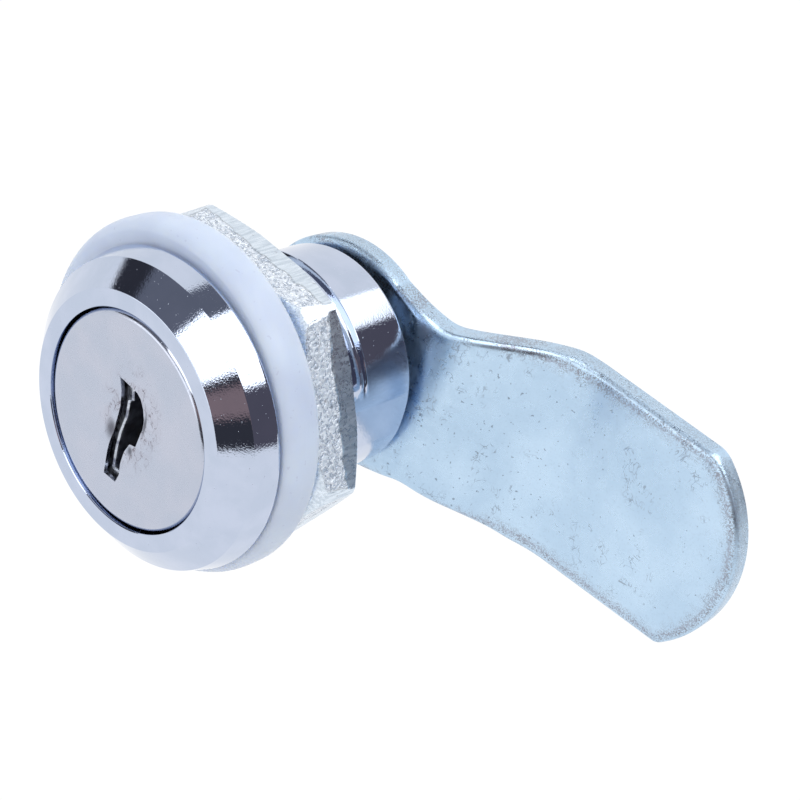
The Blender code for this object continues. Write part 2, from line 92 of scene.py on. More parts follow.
# Head and barrel
HEAD_FRONT = HOUSING_LOW.y
HEAD_RADIUS = HOUSING_HIGH.x
BARREL_END = HOUSING_HIGH.y
FACE_RADIUS = 11.2
CONE_FOOT = (13.45, -2.25)
RIM_FRONT = -0.3
RECESS_RADIUS = 9.7
RECESS_FLOOR = -1.85
BORE_RADIUS = 8.0
BARREL_RADIUS = 10.25
FLATS_ACROSS = 20.1
THREAD_CREST = 10.9
THREAD_ROOT = 10.15
THREAD_PITCH = 1.5
THREAD_START = 1.4
THREAD_END = 14.1
THREAD_PHASE = -0.17
THREAD_ROW = 0.06               # how close the thread's rings of points lie along the axis
THREAD_SIDES = (3.2, 4.4)       # heights between which the ridge rises beside each flat
GROOVE_HALF_WIDTH = 3.6
GROOVE_REACH = 8.9
GROOVE_START = -0.3
NOTCH_START = 162.0
NOTCH_END = 288.0
NOTCH_DEPTH = 1.0

# Sealing washer
SEAL_HOLE_RADIUS = 12.0
SEAL_FRONT_ROLL = (1.1, 1.7)    # how far its rolled edges reach, across and along the axis
SEAL_BACK_ROLL = (0.5, 0.6)

# Plug
WAFER_COUNT = 6
PLUG_HEAD_RADIUS = 8.5
PLUG_BODY_RADIUS = 7.7
PLUG_PLAY = 0.3
SLOT_HALF_WIDTH = 3.6
SLOT_REACH = 9.0
POCKET_HALF_LENGTH = 1.05
POCKET_ACROSS = (3.0, 5.85)
POCKET_UP = (-4.3, 2.2)
SCREW_HOLE_RADIUS = 2.8
SCREW_HOLE_START = 16.2

# Keyway as (x, z): down the left side from its pointed top, then up the right side
KEYWAY = [
    (-1.7, 3.75), (-1.15, 2.4), (-0.95, 1.1), (-1.05, -0.3), (-1.35, -2.2), (-1.45, -3.8), (-1.35, -6.15),
    (0.4, -6.15), (0.7, -5.1), (0.6, -3.9), (0.75, -2.7), (1.15, -1.7), (1.9, -1.5),
    (2.25, 0.5), (2.2, 1.7), (1.9, 2.5), (1.4, 3.2), (0.8, 3.55), (-0.3, 3.65),
]
# The same opening in the plug stands a little inside the cap's on the left and at the foot
PLUG_KEYWAY = [
    (-1.0, 3.3), (-0.6, 2.4), (-0.45, 1.5), (-0.85, 1.2), (-0.8, -0.3), (-1.15, -2.2), (-1.25, -3.8),
    (-1.15, -5.75), (0.35, -5.75), (0.6, -5.1), (0.55, -3.9), (0.7, -2.7), (1.15, -1.75), (1.8, -1.6),
    (2.2, 0.5), (2.15, 1.7), (1.85, 2.45), (1.35, 3.15), (0.8, 3.45), (-0.3, 3.5),
]
KEYWAY_DEPTH = 15.0
KEYWAY_CHAMFER = 0.14

# Cap
CAP_PLAY = 0.12
CAP_DEPTH = 0.05                # how far the cap lies behind the front ring
CAP_SHEET = 0.5
CAP_ROLL = (0.72, 0.7)          # width and depth of its rolled edge
CAP_DENTED_REACH = 4.6          # how far from the axis the cap is cut finely enough to dent
CAP_GRID = 0.22
# Dents in the cap as (x, z, half width, half height, depth)
DENTS = [(-1.42, -1.6, 0.7, 1.1, 0.14), (2.25, 1.1, 0.22, 1.3, 0.10), (1.2, -2.2, 0.35, 0.5, 0.08)]

# Nut
NUT_FLATS = 27.3
NUT_TURN = 26.5
NUT_CHAMFER_RADIUS = 13.9
NUT_BORE = 11.2
NUT_PLAY = (-0.15, 0.12)        # how far the loose nut hangs off the axis, as (x, z)
NUT_CHAMFER_SLOPE = math.tan(math.radians(30))
NUT_MOUTH = 0.5
NUT_THREAD_DEPTH = 0.6
NUT_WEAR = 0.42                 # how much is worn off its corners at the front
NUT_FRACTURE = 0.62             # share of its thickness, from the front, that broke away rough
NUT_TEAR_DEPTH = 0.05
NUT_TEAR_RELIEF = 0.06

# Cam
CAM_THICKNESS = 1.95
CAM_CRANK = 6.3
CAM_FRONT_BENDS = (11.1, 20.2)
CAM_BACK_BENDS = (9.8, 18.8)
CAM_INNER_BEND = 12.0
CAM_OUTER_BEND = 12.0
CAM_HUB_LEAVE = 65.0
CAM_NECK = (10.3, 8.2)
CAM_SHOULDER = (20.0, 10.1)
CAM_NECK_RADIUS = 4.0
CAM_END_HALF_WIDTH = 9.75
CAM_END_RADIUS = 12.25
CAM_END_DROP = 0.5
CAM_UPPER_CORNER_RADIUS = 2.5
CAM_LOWER_CORNER_RADIUS = 1.2
CAM_ROLL = (0.85, 0.42)         # width and depth of its rolled front edge
SQUARE_HOLE = 7.6
SQUARE_PLAY = 0.6
CORNER_NIP = 0.08

# Washers and screw
STOP_TAB_HALF_ANGLE = 16.0
WASHER_HOLE_RADIUS = 2.8
SPLIT_RISE = 0.35
SPLIT_TURN = -345.0
SCREW_SHANK_RADIUS = 2.5
SCREW_SHANK_CHAMFER = 0.5
SCREW_HEAD_HEIGHT = 3.1
SCREW_DOME_HEIGHT = 1.3
SCREW_CROSS_REACH = 2.6
SCREW_CROSS_HALF_WIDTH = 0.55
SCREW_CROSS_DEPTH = 1.8


# ---------------------------------------------------------------- shapes

def polar(radius, degrees):
    turn = math.radians(degrees)
    return radius * math.cos(turn), radius * math.sin(turn)


def arc(centre, radius, start, end, steps):
    """Points round an arc in two dimensions, both ends included."""
    points = []
    for step in range(steps + 1):
        x, z = polar(radius, start + (end - start) * step / steps)
        points.append((centre[0] + x, centre[1] + z))
    return points


def rounded_corner(before, corner, after, radius, steps):
    """Points round a fillet that replaces one corner of a path."""
    corner = Vector(corner)
    into = (Vector(before) - corner).normalized()
    out = (Vector(after) - corner).normalized()
    half = into.angle(out) / 2
    centre = corner + (into + out).normalized() * radius / math.sin(half)
    start = corner + into * radius / math.tan(half) - centre
    end = corner + out * radius / math.tan(half) - centre
    points = []
    for step in range(steps + 1):
        spoke = start.lerp(end, step / steps).normalized() * radius
        points.append(tuple(centre + spoke))
    return points


def rounded(path, radii, steps=3):
    """A closed path whose corners are filleted by the radius given for each, or left sharp at 0."""
    points = []
    for i, radius in enumerate(radii):
        if radius == 0:
            points.append(path[i])
        else:
            points += rounded_corner(path[i - 1], path[i], path[(i + 1) % len(path)], radius, steps)
    return points


def object_from(name, bm, sharp=30.0):
    """Turn a closed bmesh in millimetres into an object whose faces point out."""
    bmesh.ops.remove_doubles(bm, verts=bm.verts[:], dist=1e-5)
    bmesh.ops.scale(bm, vec=(MM, MM, MM), verts=bm.verts[:])
    bmesh.ops.recalc_face_normals(bm, faces=bm.faces[:])
    mesh = bpy.data.meshes.new(name)
    bm.to_mesh(mesh)
    bm.free()
    mesh.shade_smooth()
    mesh.set_sharp_from_angle(angle=math.radians(sharp))
    piece = bpy.data.objects.new(name, mesh)
    bpy.context.scene.collection.objects.link(piece)
    return piece


def lathe(name, profile, segments=SEGMENTS, shape=None, start=0.0, sharp=30.0):
    """A solid turned about Y from a closed loop of (radius, y).

    shape(radius, y, degrees) may vary the radius.
    """
    bm = bmesh.new()
    rings = []
    for radius, y in profile:
        ring = []
        for step in range(segments if radius > 0 else 1):
            degrees = start + 360 * step / segments
            reach = radius if shape is None else shape(radius, y, degrees)
            x, z = polar(reach, degrees)
            ring.append(bm.verts.new((x, y, z)))
        rings.append(ring)
    for ring, following in zip(rings, rings[1:] + rings[:1]):
        if len(ring) == len(following) == 1:
            continue
        for step in range(segments):
            corners = [ring[step % len(ring)], ring[(step + 1) % len(ring)],
                       following[(step + 1) % len(following)], following[step % len(following)]]
            bm.faces.new(list(dict.fromkeys(corners)))
    return object_from(name, bm, sharp)


def inset(outline, distance):
    """An anticlockwise outline moved inwards by a distance, or outwards when it is negative."""
    points = [Vector(point) for point in outline]
    moved = []
    for i, point in enumerate(points):
        before = (point - points[i - 1]).normalized()
        after = (points[(i + 1) % len(points)] - point).normalized()
        left = Vector((-before.y, before.x)) + Vector((-after.y, after.x))
        half_turn = math.sqrt((1 + before.dot(after)) / 2)
        moved.append(point + left.normalized() * distance / max(0.5, half_turn))
    return moved


def sheet(outlines, rows):
    """A flat piece across Y: each outline is swept through its (inset, y) rows, then both faces are filled.

    The first outline is the anticlockwise edge and the others are clockwise holes.
    """
    bm = bmesh.new()
    front, back = [], []
    for outline, steps in zip(outlines, rows):
        rings = [[bm.verts.new((x, y, z)) for x, z in inset(outline, distance)] for distance, y in steps]
        count = len(outline)
        for ring, following in zip(rings, rings[1:]):
            for i in range(count):
                j = (i + 1) % count
                bm.faces.new((ring[i], ring[j], following[j], following[i]))
        for ring, edges in ((rings[0], front), (rings[-1], back)):
            edges += [bm.edges.get((ring[i], ring[(i + 1) % count])) for i in range(count)]
    bmesh.ops.triangle_fill(bm, edges=front, use_beauty=True)
    bmesh.ops.triangle_fill(bm, edges=back, use_beauty=True)
    return bm


def slice_up(bm, axis, places):
    """Cut a mesh by planes across one axis, so that it can bend there."""
    direction = Vector((0, 0, 0))
    direction[axis] = 1
    for place in places:
        bmesh.ops.bisect_plane(bm, geom=bm.verts[:] + bm.edges[:] + bm.faces[:], dist=1e-6,
                               plane_co=direction * place, plane_no=direction)


def steps_between(low, high, spacing):
    count = max(1, round((high - low) / spacing))
    return [low + (high - low) * step / count for step in range(count + 1)]


def box_cutter(name, limits):
    """One cutter made of separate boxes, each given as (x0, x1, y0, y1, z0, z1)."""
    bm = bmesh.new()
    for x0, x1, y0, y1, z0, z1 in limits:
        centre = Vector(((x0 + x1) / 2, (y0 + y1) / 2, (z0 + z1) / 2))
        size = Matrix.Diagonal((x1 - x0, y1 - y0, z1 - z0, 1.0))
        bmesh.ops.create_cube(bm, size=1.0, matrix=Matrix.Translation(centre) @ size)
    return object_from(name, bm)


def prism(name, outline, front, back):
    """A plain cutter between two Y planes."""
    return object_from(name, sheet([outline], [[(0, front), (0, back)]]))


def apply_cuts(piece, cutters, sharp=30.0, operation="DIFFERENCE"):
    """Boolean the cutters into a piece for good, then remove them."""
    for cutter in cutters:
        modifier = piece.modifiers.new(cutter.name, "BOOLEAN")
        modifier.operation = operation
        modifier.object = cutter
        modifier.solver = "EXACT"
    depsgraph = bpy.context.evaluated_depsgraph_get()
    mesh = bpy.data.meshes.new_from_object(piece.evaluated_get(depsgraph))
    piece.modifiers.clear()
    piece.data = mesh
    mesh.shade_smooth()
    mesh.set_sharp_from_angle(angle=math.radians(sharp))
    for cutter in cutters:
        bpy.data.objects.remove(cutter, do_unlink=True)
    return piece


def stand_for(piece, node, finish):
    """The piece takes a CAD node's place, body and material slot, in a finish."""
    piece.data.materials.clear()
    piece.data.materials.append(finish)
    even = piece.modifiers.new("even_faces", "WEIGHTED_NORMAL")
    even.keep_sharp = True
    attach(piece, BODY_OF[node])
    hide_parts(node)


# ---------------------------------------------------------------- pieces

def smooth(value):
    value = min(1.0, max(0.0, value))
    return value * value * (3 - 2 * value)


def from_crest(y, degrees):
    """How far round the thread a place is from its crest: 0 on the crest and 1 in the root."""
    turns = (y - THREAD_START) / THREAD_PITCH + degrees / 360 + THREAD_PHASE
    return abs(2 * (turns % 1) - 1)


def thread_radius(radius, y, degrees):
    """Works the barrel's skin into a right-hand thread that dies out at both ends and beside the flats."""
    if radius != THREAD_ROOT or not THREAD_START < y < THREAD_END:
        return max(radius, BARREL_RADIUS) if radius == THREAD_ROOT else radius
    share = min(1.0, max(0.0, (0.9 - from_crest(y, degrees)) / 0.7))
    height = (share + smooth(share)) / 2
    ridge = THREAD_ROOT + (THREAD_CREST - THREAD_ROOT) * height
    ends = smooth((y - THREAD_START) / 0.8) * smooth((THREAD_END - y) / 0.35)
    low, high = THREAD_SIDES
    sides = smooth((abs(polar(radius, degrees)[1]) - low) / (high - low))
    return BARREL_RADIUS + (ridge - BARREL_RADIUS) * ends * sides


def make_housing():
    """The chromed head and threaded barrel."""
    threaded = [(THREAD_ROOT, y) for y in steps_between(THREAD_START - 0.2, THREAD_END, THREAD_ROW)]
    corners = [
        (RECESS_RADIUS, HEAD_FRONT), (FACE_RADIUS, HEAD_FRONT), CONE_FOOT, (HEAD_RADIUS, RIM_FRONT),
        (HEAD_RADIUS, 0.0), (THREAD_ROOT, 0.0), (BARREL_RADIUS, BARREL_END), (BORE_RADIUS, BARREL_END),
        (BORE_RADIUS, RECESS_FLOOR), (RECESS_RADIUS, RECESS_FLOOR),
    ]
    radii = [0.14, 0.22, 0.12, 0.2, 0.1, 0.0, 0.35, 0.15, 0.1, 0.1]
    profile = rounded(corners, radii)
    root = profile.index((THREAD_ROOT, 0.0))
    profile[root + 1:root + 1] = threaded + [(BARREL_RADIUS, THREAD_END + THREAD_ROW)]
    housing = lathe("head_and_barrel", profile, shape=thread_radius)
    beyond = 2 * HEAD_RADIUS
    half = FLATS_ACROSS / 2
    flats = box_cutter("flats", [(half, beyond, 0.0, beyond, -beyond, beyond),
                                 (-beyond, -half, 0.0, beyond, -beyond, beyond)])
    grooves = box_cutter("grooves", [(-GROOVE_HALF_WIDTH, GROOVE_HALF_WIDTH, GROOVE_START, beyond,
                                      -GROOVE_REACH, GROOVE_REACH)])
    notch = prism("notch", arc((0, 0), BORE_RADIUS * 0.7, NOTCH_END, NOTCH_START, 24)
                  + arc((0, 0), HEAD_RADIUS, NOTCH_START, NOTCH_END, 24),
                  BARREL_END - NOTCH_DEPTH, beyond)
    return apply_cuts(housing, [flats, grooves, notch], sharp=18.0)


def make_sealing_washer():
    """The soft moulded ring under the head."""
    radius = (SEAL_HIGH.x - SEAL_LOW.x) / 2
    centre = (SEAL_HIGH + SEAL_LOW) / 2
    hole = [(SEAL_HOLE_RADIUS, SEAL_LOW.y), (SEAL_HOLE_RADIUS, SEAL_HIGH.y)]
    across, along = SEAL_BACK_ROLL
    back = [(radius - across * (1 - x), SEAL_HIGH.y - along * (1 - y))
            for x, y in arc((0, 0), 1.0, 90, 0, 8)]
    across, along = SEAL_FRONT_ROLL
    front = [(radius - across * (1 - x), SEAL_LOW.y + along * (1 - y))
             for x, y in arc((0, 0), 1.0, 0, 90, 12)]
    ring = lathe("sealing_ring", hole + back + front, sharp=50.0)
    ring.data.transform(Matrix.Translation((centre.x * MM, 0.0, centre.z * MM)))
    return ring


def nut_radius(radius, y, degrees):
    """The nut's skin: six flats, both chamfers, worn corners and the torn front zone."""
    if radius == NUT_BORE and NUT_LOW.y + NUT_MOUTH < y < NUT_HIGH.y - NUT_MOUTH:
        return NUT_BORE + NUT_THREAD_DEPTH * smooth((0.9 - from_crest(y, degrees)) / 0.8)
    if radius < NUT_FLATS / 2:
        return radius
    side = (degrees - NUT_TURN + 30) % 60 - 30
    from_corner = abs(side) - 30
    corner = round((degrees - NUT_TURN - 30) / 60)
    depth = (y - NUT_LOW.y) / (NUT_HIGH.y - NUT_LOW.y)
    place = Vector((*polar(NUT_FLATS / 2, degrees), y))
    torn = smooth((NUT_FRACTURE + 0.05 * noise.noise(place * 1.1) - depth) / 0.03)
    torn *= smooth((-from_corner - 3.0 * (1 - depth)) / 1.5)
    rough = noise.noise(Vector((place.x * 2.4, place.y * 2.4, place.z * 1.6)))
    apothem = NUT_FLATS / 2 - torn * (NUT_TEAR_DEPTH + NUT_TEAR_RELIEF * rough) * smooth(depth / 0.08)
    reach = apothem / math.cos(math.radians(side))
    across_corners = NUT_FLATS / 2 / math.cos(math.radians(30))
    worn = NUT_WEAR * (1 - 0.95 * depth) * (1 + 0.2 * math.sin(corner * 2.4)) + 0.04
    reach = min(reach, (across_corners - worn) / math.cos(math.radians(from_corner)))
    edge = min(y - NUT_LOW.y, NUT_HIGH.y - y)
    return min(reach, NUT_CHAMFER_RADIUS + edge / NUT_CHAMFER_SLOPE)


def make_mounting_nut():
    """The punched hexagon nut."""
    rows = [(NUT_FLATS, y) for y in steps_between(NUT_LOW.y, NUT_HIGH.y, 0.08)]
    thread = [(NUT_BORE, y) for y in steps_between(NUT_HIGH.y - NUT_MOUTH, NUT_LOW.y + NUT_MOUTH, -0.2)]
    profile = [(NUT_BORE + NUT_MOUTH, NUT_LOW.y)] + rows + [(NUT_BORE + NUT_MOUTH, NUT_HIGH.y)] + thread
    nut = lathe("hexagon_nut", profile, segments=720, shape=nut_radius, start=NUT_TURN, sharp=25.0)
    nut.data.transform(Matrix.Translation((NUT_PLAY[0] * MM, 0.0, NUT_PLAY[1] * MM)))
    return nut


def make_plug():
    """The core with its keyway and wafer slots; only its face and tail can be seen."""
    head, body = PLUG_HEAD_RADIUS, PLUG_BODY_RADIUS
    step = RECESS_FLOOR - PLUG_PLAY
    shoulder = STOP_LOW.y - PLUG_PLAY
    corners = [(0.0, PLUG_LOW.y), (head, PLUG_LOW.y), (head, step), (body, step),
               (body, shoulder), (0.0, shoulder)]
    core = lathe("plug_core", rounded(corners, [0, 0.15, 0, 0.1, 0.15, 0]), segments=96)
    tail = prism("tail", square(SQUARE_HOLE - SQUARE_PLAY), shoulder - 2, PLUG_HIGH.y)
    apply_cuts(core, [tail], operation="UNION")
    chamfer = KEYWAY_CHAMFER
    way_rows = [(-chamfer, PLUG_LOW.y - 1), (-chamfer, PLUG_LOW.y), (0, PLUG_LOW.y + chamfer),
                (0, KEYWAY_DEPTH)]
    way = object_from("way", sheet([PLUG_KEYWAY], [way_rows]))
    slots = []
    pockets = []
    for index in range(WAFER_COUNT):
        low, high = span(f"wafer_{index + 1}")
        slots.append((-SLOT_HALF_WIDTH, SLOT_HALF_WIDTH, low.y - PLUG_PLAY, high.y + PLUG_PLAY,
                      -SLOT_REACH, SLOT_REACH))
        middle = (low.y + high.y) / 2
        pockets.append((*POCKET_ACROSS, middle - POCKET_HALF_LENGTH, middle + POCKET_HALF_LENGTH,
                        *POCKET_UP))
    beyond = PLUG_HIGH.y + 1
    hole = lathe("screw_hole", [(0.0, SCREW_HOLE_START), (SCREW_HOLE_RADIUS, SCREW_HOLE_START),
                                (SCREW_HOLE_RADIUS, beyond), (0.0, beyond)], segments=48)
    cutters = [way, box_cutter("slots", slots), box_cutter("pockets", pockets), hole]
    return apply_cuts(core, cutters)


def square(width):
    """A square outline with small corner facets, centred on the axis."""
    half = width / 2
    nip = width * CORNER_NIP
    return [(half, -half + nip), (half, half - nip), (half - nip, half), (-half + nip, half),
            (-half, half - nip), (-half, -half + nip), (-half + nip, -half), (half - nip, -half)]


def quarter_roll(width, depth, y, steps):
    """(inset, y) rows round a pressed edge, from the face at y to the side."""
    turns = [math.radians(90 * step / steps) for step in range(steps + 1)]
    return [(width * (1 - math.sin(turn)), y + depth * (1 - math.cos(turn))) for turn in turns]


def smooth_outline(points, spacing):
    """Points spaced evenly along an outline's sides."""
    spread = []
    for i, point in enumerate(points):
        start = Vector(point)
        end = Vector(points[(i + 1) % len(points)])
        count = max(1, round((end - start).length / spacing))
        spread += [tuple(start.lerp(end, step / count)) for step in range(count)]
    return spread


def keyway_hole():
    """The keyway's outline with its corners eased, running clockwise."""
    left = [0.05, 0.8, 0.8, 1.5, 2.0, 1.5, 0.15]
    right = [0.2, 0.5, 0.5, 0.4, 0.15, 0.2, 1.0, 1.0, 0.6, 0.5, 0.5, 0.3]
    radii = left + right
    outline = rounded(KEYWAY, radii, steps=2)
    area = sum(a[0] * b[1] - b[0] * a[1] for a, b in zip(outline, outline[1:] + outline[:1]))
    return outline if area < 0 else outline[::-1]


def dent_depth(x, z):
    depth = 0.0
    for dent_x, dent_z, wide, tall, deepest in DENTS:
        distance = math.hypot((x - dent_x) / wide, (z - dent_z) / tall)
        depth = max(depth, deepest * smooth(1.3 - distance))
    return depth


def make_face_cap():
    """The pressed stainless cap, dented a little beside the keyway."""
    radius = RECESS_RADIUS - CAP_PLAY
    front = HEAD_FRONT + CAP_DEPTH
    inside = front + CAP_SHEET
    circle = arc((0, 0), radius, 0, 360, SEGMENTS)[:-1]
    edge = quarter_roll(*CAP_ROLL, front, 16)
    edge += [(0, CAP_HIGH.y), (CAP_SHEET, CAP_HIGH.y), (CAP_SHEET, inside)]
    hole = [(-0.14, front), (-0.06, front + 0.03), (0, front + 0.12), (0, inside)]
    bm = sheet([circle, keyway_hole()], [edge, hole])
    places = steps_between(-CAP_DENTED_REACH, CAP_DENTED_REACH, CAP_GRID)
    slice_up(bm, 0, places)
    slice_up(bm, 2, places)
    for vert in bm.verts:
        if vert.co.y < front + 0.3:
            vert.co.y += dent_depth(vert.co.x, vert.co.z)
    return object_from("cap_sheet", bm, sharp=35.0)


def make_stop_washer():
    """The stop disc on the square tail, with its tab to -X."""
    start = 180 - STOP_TAB_HALF_ANGLE
    end = 180 + STOP_TAB_HALF_ANGLE
    edge = arc((0, 0), STOP_HIGH.x, end, start + 360, 96) + arc((0, 0), -STOP_LOW.x, start, end, 10)
    hole = smooth_outline(square(SQUARE_HOLE), 1.0)[::-1]
    rows = [(0.15, STOP_LOW.y), (0, STOP_LOW.y + 0.15), (0, STOP_HIGH.y - 0.1), (0.1, STOP_HIGH.y)]
    hole_rows = [(-0.1, STOP_LOW.y), (0, STOP_LOW.y + 0.1), (0, STOP_HIGH.y)]
    return object_from("stop_disc", sheet([edge, hole], [rows, hole_rows]))


def cam_edge(side, corner_radius):
    """The upper (side 1) or lower (side -1) edge of the cam, from its hub to the middle of its end."""
    half = CAM_END_HALF_WIDTH
    end = (CAM_HIGH.x - CAM_END_RADIUS, -side * CAM_END_DROP)
    across = math.sqrt((CAM_END_RADIUS - corner_radius) ** 2 - (half - corner_radius - end[1]) ** 2)
    corner = (end[0] + across, half - corner_radius)
    meeting = math.degrees(math.atan2(corner[1] - end[1], across))
    rounding = arc(corner, corner_radius, 90, meeting, 8)
    leave = polar(-CAM_LOW.x, CAM_HUB_LEAVE)
    edge = [leave]
    edge += rounded_corner(leave, CAM_NECK, CAM_SHOULDER, CAM_NECK_RADIUS, 8)
    edge += rounded_corner(CAM_NECK, CAM_SHOULDER, rounding[0], CAM_NECK_RADIUS * 2, 8)
    edge += rounding + arc(end, CAM_END_RADIUS, meeting, 0, 24)[1:]
    return [(x, side * z) for x, z in edge]


def cam_outline():
    upper = cam_edge(1, CAM_UPPER_CORNER_RADIUS)
    lower = cam_edge(-1, CAM_LOWER_CORNER_RADIUS)
    hub = arc((0, 0), -CAM_LOW.x, CAM_HUB_LEAVE, 360 - CAM_HUB_LEAVE, 80)[1:-1]
    return lower + upper[-2::-1] + hub


def sheet_side(bends, hub, first_radius, second_radius):
    """One face of the cranked sheet as (x, y), from behind the hub to beyond the tip."""
    behind = (2 * CAM_LOW.x, hub)
    first = (bends[0], hub)
    second = (bends[1], hub + CAM_CRANK)
    beyond = (CAM_HIGH.x + 5, hub + CAM_CRANK)
    first_bend = rounded_corner(behind, first, second, first_radius, 16)
    second_bend = rounded_corner(first, second, beyond, second_radius, 16)
    return [behind] + first_bend + second_bend + [beyond]


def height_on(path, x):
    """The y of a path at x."""
    for (x0, y0), (x1, y1) in zip(path, path[1:]):
        if x0 <= x <= x1:
            return y0 + (y1 - y0) * (x - x0) / (x1 - x0)
    return path[-1][1]


def make_cam():
    """The cranked cam, with a rolled front edge and a sheared side."""
    hole = smooth_outline(square(SQUARE_HOLE), 1.0)[::-1]
    thickness = CAM_THICKNESS
    edge = quarter_roll(*CAM_ROLL, 0, 8)
    edge += [(0, thickness * 0.5), (0.02, thickness * 0.55), (0.04, thickness - 0.08), (0.1, thickness)]
    hole_rows = [(-0.25, 0), (-0.07, 0.07), (0, 0.25), (0, thickness - 0.05), (-0.05, thickness)]
    bm = sheet([cam_outline(), hole], [edge, hole_rows])
    slice_up(bm, 0, steps_between(4.0, 26.0, 0.3))
    front = sheet_side(CAM_FRONT_BENDS, CAM_LOW.y, CAM_OUTER_BEND, CAM_INNER_BEND)
    back = sheet_side(CAM_BACK_BENDS, CAM_LOW.y + CAM_THICKNESS, CAM_INNER_BEND, CAM_OUTER_BEND)
    for vert in bm.verts:
        near = height_on(front, vert.co.x)
        far = height_on(back, vert.co.x)
        vert.co.y = near + (far - near) * vert.co.y / thickness
    return object_from("cam_blade", bm, sharp=28.0)


def make_flat_washer():
    """The plain washer on the cam."""
    inner, outer = WASHER_HOLE_RADIUS, FLAT_HIGH.x
    corners = [(inner, FLAT_LOW.y), (outer, FLAT_LOW.y), (outer, FLAT_HIGH.y), (inner, FLAT_HIGH.y)]
    return lathe("plain_washer", rounded(corners, [0.08, 0.08, 0.25, 0.12]), segments=128)


def make_spring_washer():
    """The split ring, its ends standing apart."""
    bm = bmesh.new()
    steps = 120
    inner, outer = WASHER_HOLE_RADIUS, SPLIT_HIGH.x
    low = SPLIT_LOW.y
    thick = SPLIT_HIGH.y - SPLIT_LOW.y - SPLIT_RISE
    section = rounded([(inner, 0), (inner, thick), (outer, thick), (outer, 0)], [0.1] * 4, 2)
    rings = []
    for step in range(steps + 1):
        share = step / steps
        ring = []
        for radius, y in section:
            x, z = polar(radius, SPLIT_TURN * share)
            ring.append(bm.verts.new((x, low + y + SPLIT_RISE * share, z)))
        rings.append(ring)
    for ring, following in zip(rings, rings[1:]):
        for i in range(len(section)):
            j = (i + 1) % len(section)
            bm.faces.new((ring[i], ring[j], following[j], following[i]))
    bm.faces.new(rings[0])
    bm.faces.new(rings[-1])
    return object_from("split_washer", bm)


def make_cam_screw():
    """The pan-head screw with a tapered cross recess."""
    shank = SCREW_SHANK_RADIUS
    tip = SCREW_LOW.y
    head = SCREW_HIGH.x
    top = SCREW_HIGH.y
    seat = top - SCREW_HEAD_HEIGHT
    profile = [(0.0, tip), (shank - SCREW_SHANK_CHAMFER, tip), (shank, tip + SCREW_SHANK_CHAMFER),
               (shank, seat), (head - 0.2, seat), (head, seat + 0.2)]
    for x, y in arc((0, 0), 1.0, 0, 84, 14):
        profile.append((head * x, top - SCREW_DOME_HEIGHT * (1 - y)))
    screw = lathe("pan_head_screw", profile + [(0.0, top)], segments=128)
    long, wide = SCREW_CROSS_REACH, SCREW_CROSS_HALF_WIDTH
    arm = [(long, -wide), (long, wide), (wide, wide)]
    cross = []
    for x_share, z_share in ((1, 0), (0, 1), (-1, 0), (0, -1)):
        cross += [(x * x_share - z * z_share, x * z_share + z * x_share) for x, z in arm]
    rows = [(0.3, top - SCREW_CROSS_DEPTH), (-0.05, top), (-0.05, top + 1)]
    return apply_cuts(screw, [object_from("recess", sheet([cross], [rows]))])


# ---------------------------------------------------------------- finishes

